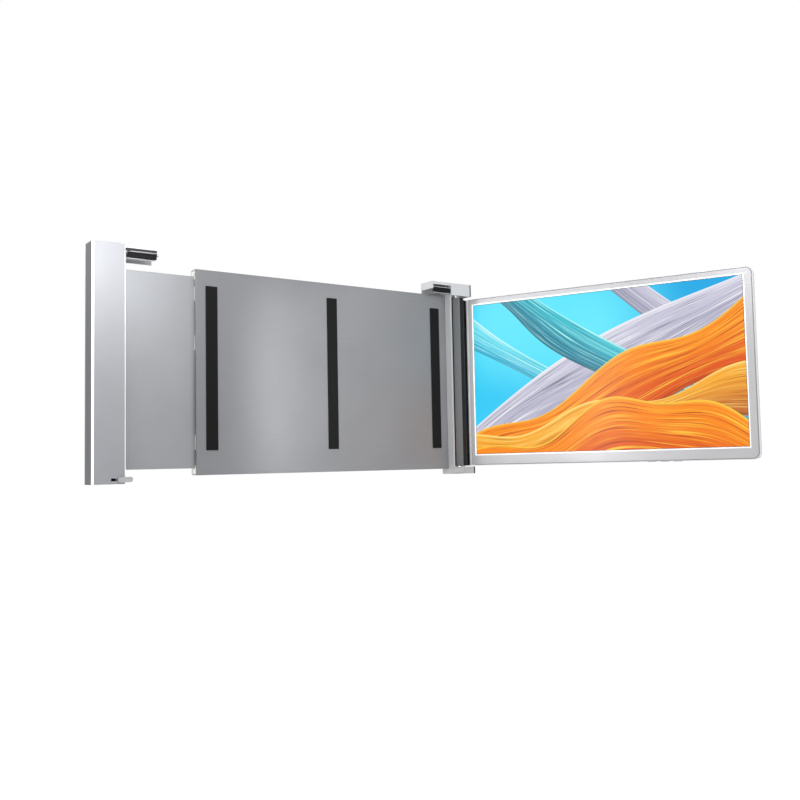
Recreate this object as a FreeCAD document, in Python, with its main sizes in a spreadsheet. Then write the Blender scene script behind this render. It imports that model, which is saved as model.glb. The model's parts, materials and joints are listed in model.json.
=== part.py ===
import FreeCAD, Part
import os
import re
import Sketcher

# A fold-out screen that clamps onto the lid of a portable computer.
# Row frame in millimetres: X to the right along the frame, Y to the back, Z up.
# The origin is the middle of the lid seat, on the face of the centre pad.
# The frame is drawn out for a wide lid and the screen is turned towards the user.

SIZES = {
    # Frame
    "recess_width": 371.3,
    "recess_depth": 9.0,
    "wing_width": 30.2,
    "wing_depth": 22.0,
    "shell_wall": 1.6,
    "edge_chamfer": 1.8,
    "inner_chamfer": 1.1,
    # Chassis behind the lid
    "chassis_length": 301.0,
    "chassis_head_gap": 0.9,
    "chassis_lift": 6.0,
    "front_plate_wall": 2.0,
    "pad_thickness": 1.0,
    "pad_width": 12.0,
    "pad_height": 160.0,
    "pad_inset": 10.0,
    "cover_round": 2.0,
    # Telescopic slide
    "slide_thickness": 3.0,
    "slide_clearance": 0.15,
    "slide_offset": 2.0,
    "slide_reach": 127.5,
    "slide_grip": 12.0,
    "rail_height": 8.0,
    "groove_depth": 3.0,
    "stop_pin_radius": 2.5,
    "stop_pin_inset": 84.5,
    "travel_out": 31.0,
    "travel_in": 69.0,
    "stop_clearance": 0.3,
    "glide_length": 20.0,
    "glide_height": 14.0,
    "glide_head_gap": 7.1,
    "glide_foot_gap": 15.2,
    "glide_pitch": 48.0,
    "anchor_height": 120.0,
    "anchor_width": 10.0,
    # Right upright and hinge blocks
    "upright_wall": 2.0,
    "block_width": 26.9,
    "top_block_height": 10.3,
    "bottom_block_height": 8.0,
    "top_plate": 3.5,
    "block_wall": 2.2,
    "end_cap_wall": 1.9,
    "end_cap_lip": 0.4,
    # Lid clips
    "clip_reach_left": 30.8,
    "clip_reach_right": 27.1,
    "clip_wall": 1.6,
    "clip_drop": 13.2,
    "clip_end_drop": 8.5,
    "clip_back_gap": 4.5,
    "pin_radius": 0.7,
    "pin_clearance": 0.05,
    "pin_drop": 6.9,
    "pin_setback": 2.1,
    "pin_bite": 1.0,
    "flap_barrel": 1.5,
    "flap_plate": 1.2,
    "flap_side_gap": 0.8,
    "flap_end_gap": 0.4,
    "flap_corner": 2.4,
    "flap_rim": 0.7,
    "front_rubber": 1.0,
    "back_rubber": 1.2,
    "rubber_top_gap": 0.1,
    "spring_length": 3.5,
    "spring_radius": 1.3,
    "spring_room": 4.0,
    # Sliding tabs at the bottom
    "tab_level": 4.0,
    "tab_height": 4.9,
    "tab_length_left": 13.5,
    "tab_length_right": 16.0,
    "tab_reach_left": 6.0,
    "tab_reach_right": 4.2,
    "tab_proud": 1.4,
    "tab_gap": 0.1,
    "tab_travel": 6.0,
    "tab_corner": 2.2,
    "tab_neck_height": 2.2,
    "tab_neck_length": 4.0,
    "tab_neck_inset": 3.2,
    "tab_foot_height": 3.8,
    "tab_foot_margin": 1.2,
    "tab_foot_thickness": 1.2,
    "tab_slot_gap": 0.15,
    # Screen hinge
    "hinge_offset": 16.2,
    "hinge_depth": 3.7,
    "rest_angle": 66.45,
    "barrel_radius": 8.6,
    "barrel_flat": 7.6,
    "flat_angle": 60.0,
    "web_thickness": 3.5,
    "shaft_radius": 3.0,
    "shaft_clearance": 0.05,
    "shaft_engage": 20.0,
    "bush_radius": 5.0,
    "bush_length": 22.0,
    "shaft_head_radius": 5.2,
    "shaft_head": 1.6,
    "shaft_tail": 1.0,
    "nut_radius": 5.4,
    "nut_height": 3.0,
    "washer_radius": 6.2,
    "washer_gap": 0.1,
    "leaf_thickness": 1.2,
    "leaf_height": 24.0,
    "leaf_inset": 14.0,
    "leaf_reach": 17.0,
    # Screen housing, from the hinge axis
    "screen_offset": 9.0,
    "screen_setback": 13.9,
    "screen_lift": 9.0,
    "screen_head_gap": 1.3,
    "screen_thickness": 8.0,
    "edge_round": 6.0,
    "top_corner": 7.5,
    "bottom_corner": 6.5,
    "rim_chamfer": 0.9,
    "bezel_plate": 1.2,
    "bezel_wall": 1.6,
    "back_wall": 1.6,
    "hinge_bar": 6.5,
    "opening_chamfer": 0.6,
    # Display stack
    "active_width": 309.4,
    "active_height": 174.0,
    "bezel_left": 6.0,
    "bezel_right": 10.2,
    "bezel_bottom": 13.3,
    "bezel_top": 8.2,
    "opening_margin": 0.3,
    "glass_thickness": 0.7,
    "panel_thickness": 1.4,
    "panel_side": 2.0,
    "panel_foot": 5.0,
    "panel_head": 2.5,
    "backlight_thickness": 1.6,
    "led_height": 4.0,
    "led_inset": 4.0,
    # Electronics
    "board_thickness": 1.0,
    "board_width": 120.0,
    "board_height": 38.0,
    "board_right": 35.6,
    "board_level": 24.0,
    "chip_height": 1.0,
    "port_board_margin": 4.0,
    "port_board_height": 7.0,
    "port_board_wall": 0.7,
    "port_first": 36.0,
    "port_pitch": 15.0,
    "usb_width": 8.9,
    "usb_height": 3.2,
    "hdmi_width": 11.2,
    "socket_depth": 7.0,
    "socket_wall": 0.35,
    "socket_inset": 0.2,
    "tongue_height": 0.7,
    "speaker_width": 35.0,
    "speaker_height": 10.0,
    "speaker_thickness": 2.0,
    "speaker_level": 9.0,
    "speaker_left": 40.0,
    "speaker_pitch": 200.0,
    "grille_hole": 0.8,
    "grille_pitch": 4.0,
    "ribbon_thickness": 0.2,
    "ribbon_width": 30.0,
    "ribbon_fold": 1.2,
    "ribbon_hold": 6.0,
    "link_width": 8.0,
    "link_hold": 1.4,
    # Buttons on the lower edge
    "button_first": 84.0,
    "button_pitch": 14.0,
    "button_length": 9.0,
    "button_height": 2.2,
    "button_proud": 0.5,
    "button_gap": 0.12,
    "button_flange": 1.2,
    "button_stroke": 0.4,
    "button_depth": 3.6,
    "switch_board": 1.0,
    "switch_dome": 2.0,
    "switch_gap": 0.1,
    "switch_margin": 6.5,
    # Fasteners
    "screw_radius": 0.9,
    "screw_head": 1.8,
    "screw_head_height": 0.9,
    "boss_radius": 2.2,
    "boss_bite": 0.7,
    "wing_screw": 7.2,
    "case_screw": 4.5,
    "slide_screw": 6.4,
    "boss_level": 4.6,
    "boss_head_level": 3.4,
}

# Places that many pieces share, as formulas of the sizes
SCREEN_HEIGHT = "(bezel_bottom + active_height + bezel_top)"
FACE_WIDTH = "(bezel_left + active_width + bezel_right)"
FRAME_HEIGHT = f"(screen_lift + {SCREEN_HEIGHT} + screen_head_gap + top_block_height + top_plate)"
CHASSIS_HEIGHT = f"({FRAME_HEIGHT} - chassis_lift - clip_drop - chassis_head_gap)"
LEFT = "(-chassis_length / 2)"
RIGHT = "(chassis_length / 2)"
CARRIAGE = "(chassis_length / 2 - recess_width)"
OUTER = "(chassis_length / 2 - recess_width - wing_width)"
BLOCK = "(chassis_length / 2 + upright_wall)"
FRONT = "(-recess_depth)"
BACK = "(wing_depth - recess_depth)"
FLOOR = f"(-{FRAME_HEIGHT} / 2)"
TOP = f"({FRAME_HEIGHT} / 2)"
CHASSIS_FLOOR = f"(-{FRAME_HEIGHT} / 2 + chassis_lift)"
CHASSIS_TOP = f"(-{FRAME_HEIGHT} / 2 + chassis_lift + {CHASSIS_HEIGHT})"
LOWER_RAIL = f"({CHASSIS_FLOOR} + shell_wall)"
UPPER_RAIL = f"({CHASSIS_TOP} - shell_wall - rail_height)"
PLATE_BACK = "(pad_thickness + front_plate_wall)"
COVER_INSIDE = "(wing_depth - recess_depth - shell_wall)"
CHASSIS_ROOM = f"({COVER_INSIDE} - {PLATE_BACK})"
SLIDE_FRONT = "(pad_thickness + front_plate_wall + slide_offset)"
SLIDE_BACK = "(pad_thickness + front_plate_wall + slide_offset + slide_thickness)"
SLIDE_HEIGHT = f"({CHASSIS_HEIGHT} - 2 * (shell_wall + rail_height - groove_depth + slide_clearance))"
SLIDE_FLOOR = f"({CHASSIS_FLOOR} + shell_wall + rail_height - groove_depth + slide_clearance)"
BLOCK_ROOF = f"({FRAME_HEIGHT} / 2 - top_plate)"
BLOCK_UNDER = f"({FRAME_HEIGHT} / 2 - top_plate - top_block_height)"
PIN_Y = "(pin_setback - recess_depth)"
PIN_Z = f"({FRAME_HEIGHT} / 2 - pin_drop)"
TAB_Z = f"(-{FRAME_HEIGHT} / 2 + tab_level)"
SCREEN_FLOOR = f"(-{FRAME_HEIGHT} / 2 + screen_lift)"
SCREEN_TOP = f"(-{FRAME_HEIGHT} / 2 + screen_lift + {SCREEN_HEIGHT})"
FACE_RIGHT = f"(screen_offset + {FACE_WIDTH})"
SCREEN_LEFT = "(screen_offset - edge_round)"
ACTIVE_LEFT = "(screen_offset + bezel_left)"
ACTIVE_FLOOR = f"(-{FRAME_HEIGHT} / 2 + screen_lift + bezel_bottom)"
LCD_FRONT = "(screen_setback + bezel_plate)"
LIGHT_FRONT = "(screen_setback + bezel_plate + panel_thickness)"
BOARD_FRONT = "(screen_setback + bezel_plate + panel_thickness + backlight_thickness)"
BOARD_BACK = "(screen_setback + bezel_plate + panel_thickness + backlight_thickness + board_thickness)"
SCREEN_INSIDE = "(screen_setback + screen_thickness - back_wall)"
SCREEN_BACK = "(screen_setback + screen_thickness)"
PANEL_LEFT = "(screen_offset + bezel_left - panel_side)"
PANEL_WIDTH = "(active_width + 2 * panel_side)"
PANEL_FLOOR = f"(-{FRAME_HEIGHT} / 2 + screen_lift + bezel_bottom - panel_foot)"
LEAF_LEVELS = (f"{SCREEN_FLOOR} + leaf_inset", f"{SCREEN_TOP} - leaf_inset - leaf_height")
PORT_BACK = "(screen_setback + screen_thickness - back_wall - port_board_wall)"

WORD = re.compile(r"[a-z_]+")
CELLS = {alias: f"dims.{alias}" for alias in SIZES}
TOLERANCE = 1e-4
DRAFT_SIDE = SIZES["wing_width"]
doc = FreeCAD.newDocument("screen_extender")
sheet = doc.addObject("Spreadsheet::Sheet", "dims")
for row, (alias, number) in enumerate(SIZES.items(), start=1):
    sheet.set(f"A{row}", alias)
    sheet.set(f"B{row}", str(number))
    sheet.setAlias(f"B{row}", alias)
doc.recompute()
subparts = []


def link(item, prop, formula):
    """Binds a property to a formula of the named sizes."""
    item.setExpression(prop, WORD.sub(lambda word: CELLS.get(word.group(), word.group()), formula))


def size(alias):
    return float(sheet.get(alias))


def place(item, x, y, z):
    for axis, formula in zip("xyz", (x, y, z)):
        link(item, f"Placement.Base.{axis}", formula)


def box(x, y, z, width, depth, height):
    item = doc.addObject("Part::Box", "block")
    link(item, "Length", width)
    link(item, "Width", depth)
    link(item, "Height", height)
    place(item, x, y, z)
    return item


def rod(x, y, z, radius, length, axis="z"):
    """A cylinder from its start point along a row axis."""
    item = doc.addObject("Part::Cylinder", "rod")
    turns = {
        "x": FreeCAD.Rotation(FreeCAD.Vector(0, 1, 0), 90),
        "y": FreeCAD.Rotation(FreeCAD.Vector(1, 0, 0), -90),
        "z": FreeCAD.Rotation(),
    }
    item.Placement = FreeCAD.Placement(FreeCAD.Vector(), turns[axis])
    link(item, "Radius", radius)
    link(item, "Height", length)
    place(item, x, y, z)
    return item


def join(*items):
    item = doc.addObject("Part::MultiFuse", "join")
    item.Shapes = list(items)
    item.Refine = True
    return item


def group(*items):
    item = doc.addObject("Part::Compound", "group")
    item.Links = list(items)
    return item


def cut(base, *tools):
    item = doc.addObject("Part::Cut", "cut")
    item.Base = base
    item.Tool = tools[0] if len(tools) == 1 else group(*tools)
    item.Refine = True
    return item


def edges_along(shape, axis, *ends):
    """Numbers of the straight edges along an axis that lie on the given ends of the shape's box."""
    whole = shape.BoundBox
    numbers = []
    for number, edge in enumerate(shape.Edges, start=1):
        bounds = edge.BoundBox
        spread = {"x": bounds.XLength, "y": bounds.YLength, "z": bounds.ZLength}
        across = max(spread[other] for other in "xyz" if other != axis)
        if across > TOLERANCE or spread[axis] < TOLERANCE:
            continue
        limits = {
            "x-": bounds.XMax - whole.XMin,
            "x+": whole.XMax - bounds.XMin,
            "y-": bounds.YMax - whole.YMin,
            "y+": whole.YMax - bounds.YMin,
            "z-": bounds.ZMax - whole.ZMin,
            "z+": whole.ZMax - bounds.ZMin,
        }
        if all(limits[end] < TOLERANCE for end in ends):
            numbers.append(number)
    return numbers


def rounded(base, *picks):
    """Rounds edges of a piece. Each pick is a radius alias, an axis and the ends of the piece."""
    doc.recompute()
    item = doc.addObject("Part::Fillet", "rounded")
    item.Base = base
    item.Edges = [
        (number, size(alias), size(alias))
        for alias, axis, *ends in picks
        for number in edges_along(base.Shape, axis, *ends)
    ]
    return item


def new_body(name):
    return doc.addObject("PartDesign::Body", name)


def sketch_on_front(body, depth, x, z, width, height):
    """A rectangle in the XZ plane at a depth along Y, with every side bound to the sizes."""
    plane = next(item for item in body.Origin.OriginFeatures if item.Role == "XZ_Plane")
    sketch = body.newObject("Sketcher::SketchObject", "outline")
    sketch.AttachmentSupport = [(plane, "")]
    sketch.MapMode = "FlatFace"
    link(sketch, "AttachmentOffset.Base.z", f"-({depth})")
    draft = ((0, 0), (DRAFT_SIDE, 0), (DRAFT_SIDE, DRAFT_SIDE), (0, DRAFT_SIDE))
    corners = [FreeCAD.Vector(*corner, 0) for corner in draft]
    for index in range(4):
        sketch.addGeometry(Part.LineSegment(corners[index], corners[(index + 1) % 4]), False)
    rules = [Sketcher.Constraint("Coincident", index, 2, (index + 1) % 4, 1) for index in range(4)]
    rules += [Sketcher.Constraint("Horizontal", index) for index in (0, 2)]
    rules += [Sketcher.Constraint("Vertical", index) for index in (1, 3)]
    sketch.addConstraint(rules)
    drivers = (
        ("left", Sketcher.Constraint("DistanceX", -1, 1, 0, 1, DRAFT_SIDE), x),
        ("floor", Sketcher.Constraint("DistanceY", -1, 1, 0, 1, DRAFT_SIDE), z),
        ("width", Sketcher.Constraint("DistanceX", 0, 1, 0, 2, DRAFT_SIDE), width),
        ("height", Sketcher.Constraint("DistanceY", 1, 1, 1, 2, DRAFT_SIDE), height),
    )
    for name, rule, formula in drivers:
        number = sketch.addConstraint(rule)
        sketch.renameConstraint(number, name)
        link(sketch, f"Constraints.{name}", formula)
    return sketch


def pad(body, sketch, depth):
    item = body.newObject("PartDesign::Pad", "pad")
    item.Profile = sketch
    item.Reversed = True
    link(item, "Length", depth)
    return item


def pocket(body, sketch, depth):
    item = body.newObject("PartDesign::Pocket", "pocket")
    item.Profile = sketch
    link(item, "Length", depth)
    doc.recompute()
    if item.Shape.Volume >= item.BaseFeature.Shape.Volume - TOLERANCE:
        raise RuntimeError(f"{item.Name} of {body.Name} cuts nothing")
    return item


def dress(body, kind, alias, *picks):
    """Adds a PartDesign fillet or chamfer on picked edges of the body's tip."""
    doc.recompute()
    base = body.Tip
    numbers = [number for axis, *ends in picks for number in edges_along(base.Shape, axis, *ends)]
    item = body.newObject(f"PartDesign::{kind}", kind.lower())
    item.Base = (base, [f"Edge{number}" for number in numbers])
    link(item, "Radius" if kind == "Fillet" else "Size", alias)
    return item


def keep(item, label):
    """Names a finished sub-part that stands in the row frame."""
    item.Label = label
    subparts.append(item)
    return item


def keep_on_screen(solid, label):
    """Names a sub-part drawn from the hinge axis and turns it to the rest pose."""
    item = group(solid)
    item.Placement = FreeCAD.Placement(
        FreeCAD.Vector(),
        FreeCAD.Rotation(FreeCAD.Vector(0, 0, 1), -size("rest_angle")),
    )
    place(item, f"{RIGHT} + upright_wall + hinge_offset", "hinge_depth", "0")
    link(item, "Placement.Rotation.Angle", "-rest_angle")
    return keep(item, label)


def screw_set(points, inward, depth, length):
    """Screws with sunk heads as one group, which also bores their holes. inward is 1 or -1 along Y."""
    solids = []
    for x, z in points:
        start = f"{depth} - {length}" if inward < 0 else f"({depth})"
        head_start = f"{depth} - screw_head_height" if inward < 0 else f"({depth})"
        shank = rod(x, start, z, "screw_radius", length, "y")
        head = rod(x, head_start, z, "screw_head", "screw_head_height", "y")
        solids.append(join(shank, head))
    return group(*solids)


def front_plate():
    wall = "front_plate_wall"
    keep(box(LEFT, "pad_thickness", CHASSIS_FLOOR, "chassis_length", wall, CHASSIS_HEIGHT), "front_plate")


def lid_pads():
    lefts = (f"{LEFT} + pad_inset", "-pad_width / 2", f"{RIGHT} - pad_inset - pad_width")
    pads = [box(x, "0", "-pad_height / 2", "pad_width", "pad_thickness", "pad_height") for x in lefts]
    keep(group(*pads), "lid_pads")


def rear_cover():
    body = new_body("rear_shell")
    outline = sketch_on_front(body, PLATE_BACK, LEFT, CHASSIS_FLOOR, "chassis_length", CHASSIS_HEIGHT)
    pad(body, outline, f"{BACK} - {PLATE_BACK}")
    doc.recompute()
    floor = f"{CHASSIS_FLOOR} + shell_wall"
    height = f"{CHASSIS_HEIGHT} - 2 * shell_wall"
    inside = sketch_on_front(body, PLATE_BACK, LEFT, floor, "chassis_length", height)
    pocket(body, inside, f"{COVER_INSIDE} - {PLATE_BACK}")
    dress(body, "Fillet", "cover_round", ("x", "y+", "z-"), ("x", "y+", "z+"))
    levels = (f"{LOWER_RAIL} + rail_height / 2", f"{UPPER_RAIL} + rail_height / 2")
    shares = (0.04, 0.34, 0.66, 0.96)
    points = [(f"{LEFT} + chassis_length * {share}", level) for level in levels for share in shares]
    length = f"({BACK} - {SLIDE_BACK} - slide_clearance - shell_wall / 4)"
    screws = keep(screw_set(points, -1, BACK, length), "rear_cover_screws")
    keep(cut(body, screws), "rear_cover")
    return screws


def guide_rail(label, level, groove_level, screws):
    """A nylon channel that carries one edge of the slide plate."""
    bar = box(LEFT, PLATE_BACK, level, "chassis_length", CHASSIS_ROOM, "rail_height")
    groove = box(
        LEFT,
        f"{SLIDE_FRONT} - slide_clearance",
        groove_level,
        "chassis_length",
        "slide_thickness + 2 * slide_clearance",
        "groove_depth",
    )
    keep(cut(bar, groove, screws), label)


def slide_plate():
    body = new_body("slide_blank")
    width = f"{LEFT} + slide_reach - {CARRIAGE} + slide_grip"
    start = f"{CARRIAGE} - slide_grip"
    outline = sketch_on_front(body, SLIDE_FRONT, start, SLIDE_FLOOR, width, SLIDE_HEIGHT)
    pad(body, outline, "slide_thickness")
    doc.recompute()
    slot = sketch_on_front(
        body,
        SLIDE_FRONT,
        f"{LEFT} + stop_pin_inset - travel_in - stop_pin_radius - stop_clearance",
        "-stop_pin_radius - slide_clearance",
        "travel_in + travel_out + 2 * stop_pin_radius + 2 * stop_clearance",
        "2 * (stop_pin_radius + slide_clearance)",
    )
    pocket(body, slot, "slide_thickness")
    return body


def stop_pin():
    pin = rod(f"{LEFT} + stop_pin_inset", PLATE_BACK, "0", "stop_pin_radius", CHASSIS_ROOM, "y")
    keep(pin, "travel_stop_pin")


def slide_glides():
    head = f"{UPPER_RAIL} - glide_head_gap - glide_height"
    levels = (f"{LOWER_RAIL} + rail_height + glide_foot_gap", f"{head} - glide_pitch", head)
    pads = [
        box(
            f"{LEFT} + slide_clearance",
            PLATE_BACK,
            level,
            "glide_length",
            "slide_offset - slide_clearance",
            "glide_height",
        )
        for level in levels
    ]
    keep(group(*pads), "slide_glides")


def wing():
    """The left wing: an open-backed shell, its back cover and what anchors the slide plate."""
    body = new_body("wing_blank")
    outline = sketch_on_front(body, FRONT, OUTER, FLOOR, "wing_width", FRAME_HEIGHT)
    pad(body, outline, f"{COVER_INSIDE} - {FRONT}")
    doc.recompute()
    inside = sketch_on_front(
        body,
        f"{FRONT} + shell_wall",
        f"{OUTER} + shell_wall",
        f"{FLOOR} + shell_wall",
        "wing_width - 2 * shell_wall",
        f"{FRAME_HEIGHT} - 2 * shell_wall",
    )
    pocket(body, inside, f"{COVER_INSIDE} - {FRONT} - shell_wall")
    dress(body, "Chamfer", "edge_chamfer", ("z", "x-", "y-"))
    dress(body, "Chamfer", "inner_chamfer", ("z", "x+", "y-"))
    levels = [f"{FRAME_HEIGHT} * {share}" for share in (-0.45, -0.16, 0.16, 0.45)]
    points = [(f"{OUTER} + shell_wall + boss_radius - boss_bite", level) for level in levels]
    start = f"{FRONT} + shell_wall / 2"
    bosses = [rod(x, start, z, "boss_radius", f"{COVER_INSIDE} - ({start})", "y") for x, z in points]
    screws = keep(screw_set(points, -1, BACK, "wing_screw"), "wing_cover_screws")
    slide_slot = box(
        f"{CARRIAGE} - 2 * shell_wall",
        SLIDE_FRONT,
        SLIDE_FLOOR,
        "3 * shell_wall",
        "slide_thickness",
        SLIDE_HEIGHT,
    )
    tab_slot = box(
        f"{CARRIAGE} - tab_neck_inset - tab_neck_length - tab_travel - tab_slot_gap",
        FRONT,
        f"{TAB_Z} - tab_neck_height / 2 - tab_slot_gap",
        "tab_neck_length + tab_travel + 2 * tab_slot_gap",
        "shell_wall",
        "tab_neck_height + 2 * tab_slot_gap",
    )
    pin_hole = rod(f"{CARRIAGE} - pin_bite", PIN_Y, PIN_Z, "pin_radius", "pin_bite", "x")
    keep(cut(join(body, *bosses), screws, slide_slot, tab_slot, pin_hole), "wing_shell")
    cover = box(OUTER, COVER_INSIDE, FLOOR, "wing_width", "shell_wall", FRAME_HEIGHT)
    keep(cut(cover, screws), "wing_back_cover")
    anchor_x = f"{CARRIAGE} - shell_wall - anchor_width"
    anchor_wall = f"{COVER_INSIDE} - {SLIDE_BACK}"
    anchor = box(anchor_x, SLIDE_BACK, "-anchor_height / 2", "anchor_width", anchor_wall, "anchor_height")
    middle = f"{anchor_x} + anchor_width / 2"
    anchor_points = [(middle, f"anchor_height * {share}") for share in (-0.4, 0, 0.4)]
    head_front = f"{SLIDE_FRONT} - screw_head_height"
    anchor_screws = keep(screw_set(anchor_points, 1, head_front, "slide_screw"), "slide_screws")
    keep(cut(anchor, anchor_screws), "slide_anchor")
    keep(cut(slide_plate(), anchor_screws), "slide_plate")


def upright():
    """The right wall that the lid's edge meets. Its front steps back at the top to clear the clip."""
    wall = box(RIGHT, FRONT, FLOOR, "upright_wall", "wing_depth", f"{FRAME_HEIGHT} - top_plate")
    notch = box(RIGHT, FRONT, BLOCK_UNDER, "upright_wall", "clip_back_gap", "top_block_height")
    keep(cut(wall, notch), "upright")


def hinge_blocks():
    shaft_x = f"{BLOCK} + hinge_offset"
    block = box(BLOCK, FRONT, BLOCK_UNDER, "block_width", "wing_depth", "top_block_height")
    inside = box(
        f"{BLOCK} + block_wall",
        f"{FRONT} + block_wall",
        f"{BLOCK_UNDER} + block_wall",
        "block_width - 2 * block_wall",
        "wing_depth - 2 * block_wall",
        "top_block_height - block_wall",
    )
    bore = rod(shaft_x, "hinge_depth", BLOCK_UNDER, "shaft_radius", "block_wall")
    pin_hole = rod(BLOCK, PIN_Y, PIN_Z, "pin_radius", "pin_bite", "x")
    keep(cut(block, inside, bore, pin_hole), "top_hinge_block")
    arm = box(BLOCK, FRONT, FLOOR, "block_width", "wing_depth", "bottom_block_height")
    arm_bore = rod(shaft_x, "hinge_depth", FLOOR, "shaft_radius", "bottom_block_height")
    head_bore = rod(shaft_x, "hinge_depth", FLOOR, "shaft_head_radius", "shaft_head")
    neck_slot = box(
        f"{BLOCK} + tab_neck_inset - tab_slot_gap",
        FRONT,
        f"{TAB_Z} - tab_neck_height / 2 - tab_slot_gap",
        "tab_neck_length + tab_travel + 2 * tab_slot_gap",
        "shell_wall",
        "tab_neck_height + 2 * tab_slot_gap",
    )
    foot_slot = box(
        f"{BLOCK} + tab_neck_inset - tab_foot_margin - tab_slot_gap",
        f"{FRONT} + shell_wall",
        f"{TAB_Z} - tab_foot_height / 2 - tab_slot_gap",
        "tab_neck_length + tab_travel + 2 * tab_foot_margin + 2 * tab_slot_gap",
        "tab_foot_thickness + 2 * tab_slot_gap",
        "tab_foot_height + 2 * tab_slot_gap",
    )
    keep(cut(arm, join(arm_bore, head_bore), neck_slot, foot_slot), "bottom_hinge_block")
    for label, level, height in (
        ("top_end_cap", BLOCK_UNDER, "top_block_height + top_plate"),
        ("bottom_end_cap", FLOOR, "bottom_block_height"),
    ):
        cap = box(f"{BLOCK} + block_width", FRONT, level, "end_cap_wall", "wing_depth", height)
        keep(rounded(cap, ("end_cap_lip", "z", "x+", "y-"), ("end_cap_lip", "z", "x+", "y+")), label)


def hinge_hardware():
    """The two fixed shafts, their washers and the nut that sets the friction."""
    shaft_x = f"{BLOCK} + hinge_offset"
    upper_start = f"{SCREEN_TOP} - shaft_engage"
    upper_end = f"{BLOCK_UNDER} + block_wall + nut_height + shaft_tail"
    upper = rod(shaft_x, "hinge_depth", upper_start, "shaft_radius", f"{upper_end} - ({upper_start})")
    keep(upper, "upper_hinge_shaft")
    lower = rod(
        shaft_x, "hinge_depth", FLOOR, "shaft_radius", f"{SCREEN_FLOOR} + shaft_engage - {FLOOR}"
    )
    head = rod(shaft_x, "hinge_depth", FLOOR, "shaft_head_radius", "shaft_head")
    keep(join(lower, head), "lower_hinge_shaft")
    nut = doc.addObject("Part::Prism", "nut")
    nut.Polygon = 6
    link(nut, "Circumradius", "nut_radius")
    link(nut, "Height", "nut_height")
    place(nut, shaft_x, "hinge_depth", f"{BLOCK_UNDER} + block_wall")
    thread = rod(shaft_x, "hinge_depth", f"{BLOCK_UNDER} + block_wall", "shaft_radius", "nut_height")
    keep(cut(nut, thread), "hinge_nut")
    arm_top = f"({FLOOR} + bottom_block_height)"
    rings = []
    for level, height in (
        (arm_top, f"{SCREEN_FLOOR} - {arm_top} - washer_gap"),
        (f"{SCREEN_TOP} + washer_gap", f"{BLOCK_UNDER} - {SCREEN_TOP} - washer_gap"),
    ):
        disc = rod(shaft_x, "hinge_depth", level, "washer_radius", height)
        hole = rod(shaft_x, "hinge_depth", level, "shaft_radius", height)
        rings.append(cut(disc, hole))
    keep(group(*rings), "hinge_washers")


def span(root, way, start, end):
    """The low side and the width of a stretch measured from a root along +X or -X."""
    low = f"{root} + {start}" if way > 0 else f"{root} - ({end})"
    return low, f"({end}) - ({start})"


def clip(side, root, way, reach, tail):
    """One spring clip: bracket, pin, torsion spring, flap and its rubber faces."""
    low, width = span(root, way, f"-{tail}", reach)
    plate = box(low, FRONT, BLOCK_ROOF, width, "wing_depth", "top_plate")
    low, width = span(root, way, f"{reach} - clip_wall", reach)
    drop = "clip_end_drop - top_plate"
    end_wall = box(low, FRONT, f"{TOP} - clip_end_drop", width, "wing_depth", drop)
    low, width = span(root, way, "0" if way > 0 else "upright_wall", reach)
    drop = "clip_drop - top_plate"
    back = box(low, f"{BACK} - clip_wall", f"{TOP} - clip_drop", width, "clip_wall", drop)
    low, width = span(root, way, "-pin_bite", f"{reach} - clip_wall / 2")
    pin = rod(low, PIN_Y, PIN_Z, "pin_radius", width, "x")
    keep(pin, f"clip_pin_{side}")
    keep(cut(join(plate, end_wall, back), pin), f"clip_bracket_{side}")

    low, width = span(root, way, "flap_side_gap", "flap_side_gap + spring_length")
    coil = rod(low, PIN_Y, PIN_Z, "spring_radius", width, "x")
    bore = rod(low, PIN_Y, PIN_Z, "pin_radius", width, "x")
    keep(cut(coil, bore), f"torsion_spring_{side}")

    flap_end = f"{reach} - clip_wall - flap_end_gap"
    low, width = span(root, way, "flap_side_gap", flap_end)
    face = f"({PIN_Y} - flap_barrel)"
    leaf = box(low, face, f"{TOP} - clip_drop", width, "flap_plate", f"{PIN_Z} - {TOP} + clip_drop")
    rounded_leaf = rounded(leaf, ("flap_corner", "y", "z-", "x-"), ("flap_corner", "y", "z-", "x+"))
    low_b, width_b = span(root, way, "flap_side_gap + spring_room", flap_end)
    barrel = rod(low_b, PIN_Y, PIN_Z, "flap_barrel", width_b, "x")
    low_n, width_n = span(root, way, "0", "flap_side_gap + spring_room")
    notch = box(
        low_n,
        f"{face} - flap_plate",
        f"{PIN_Z} - flap_barrel - flap_end_gap",
        width_n,
        "2 * (flap_barrel + flap_plate)",
        "3 * flap_barrel",
    )
    pin_bore = rod(low, PIN_Y, PIN_Z, "pin_radius + pin_clearance", width, "x")
    keep(cut(join(rounded_leaf, barrel), notch, pin_bore), f"clip_flap_{side}")

    low, width = span(root, way, "flap_side_gap + flap_rim", f"{flap_end} - flap_rim")
    foot = f"{TOP} - clip_drop + flap_rim"
    height = f"{PIN_Z} - rubber_top_gap - ({foot})"
    front = box(low, f"{face} - front_rubber", foot, width, "front_rubber", height)
    front_pad = rounded(front, ("flap_corner", "y", "z-", "x-"), ("flap_corner", "y", "z-", "x+"))
    rear = box(low, f"{face} + flap_plate", foot, width, "back_rubber", f"{height} - flap_barrel")
    rear_pad = rounded(rear, ("flap_rim", "y", "z-", "x-"), ("flap_rim", "y", "z-", "x+"))
    keep(group(front_pad, rear_pad), f"clip_rubber_{side}")


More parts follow.
